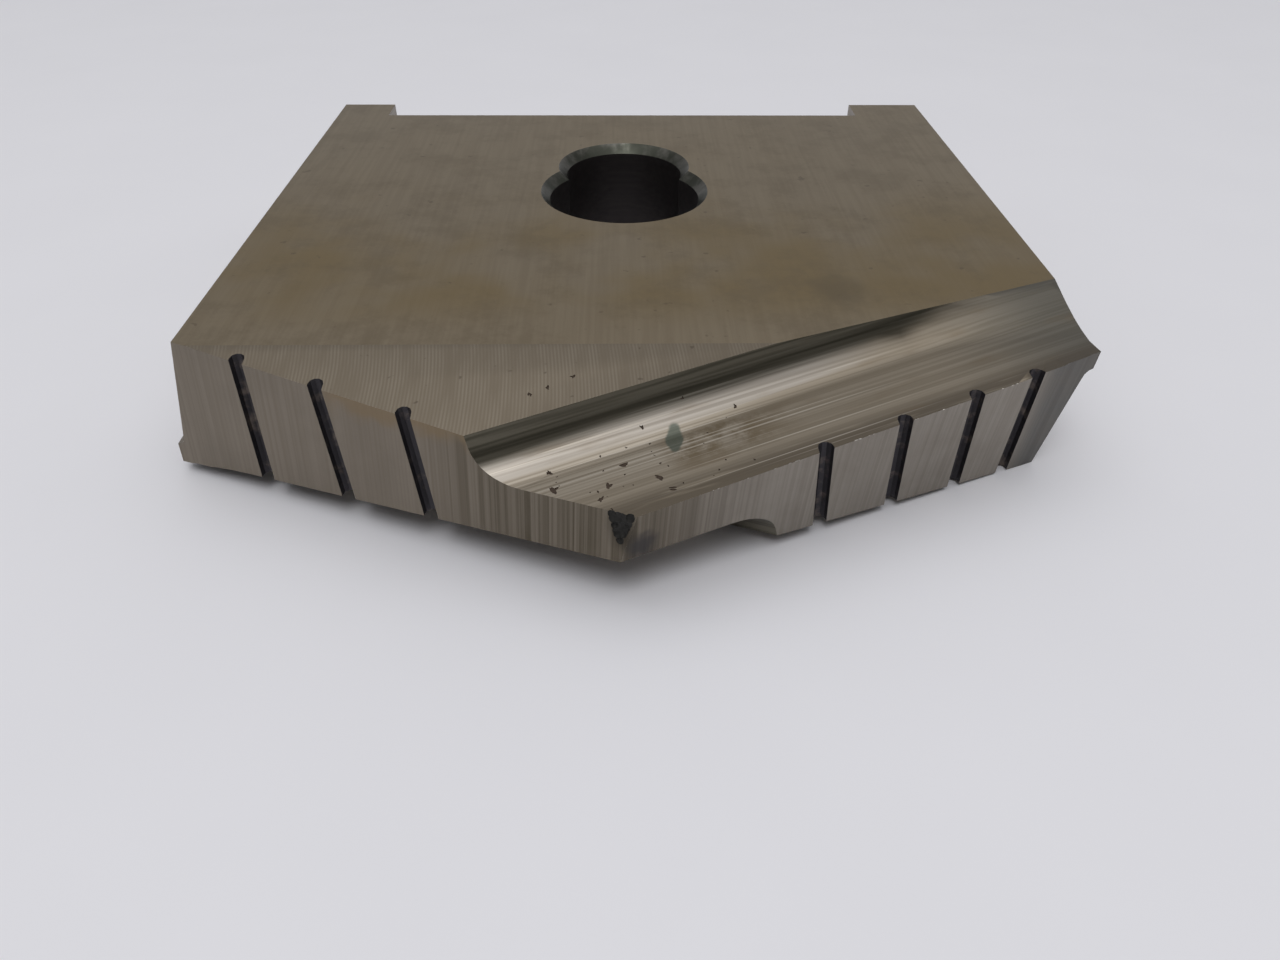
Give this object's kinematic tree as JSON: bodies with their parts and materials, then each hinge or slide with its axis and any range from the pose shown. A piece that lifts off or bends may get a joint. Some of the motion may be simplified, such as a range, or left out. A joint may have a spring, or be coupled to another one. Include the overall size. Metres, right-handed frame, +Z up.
{
  "type": "spade drill blade",
  "caption": "Flat pointed spade drill blade with chip grooves, notched lips, a keyhole clamp hole and a rear locating recess.",
  "frame": {"origin": "middle of the face that the blade lies on, centred on its width and on its length", "axes": "+Z up through the thickness; the drill's axis lies along Y at half the thickness, and the point faces -Y; +X to the right"},
  "size_m": [0.0768, 0.0772, 0.0126],
  "materials": {
    "high_speed_steel": "ground bare steel, darkened by use"
  },
  "bodies": {
    "root": {"spade_drill_blade": "high_speed_steel"}
  },
  "joints": []
}
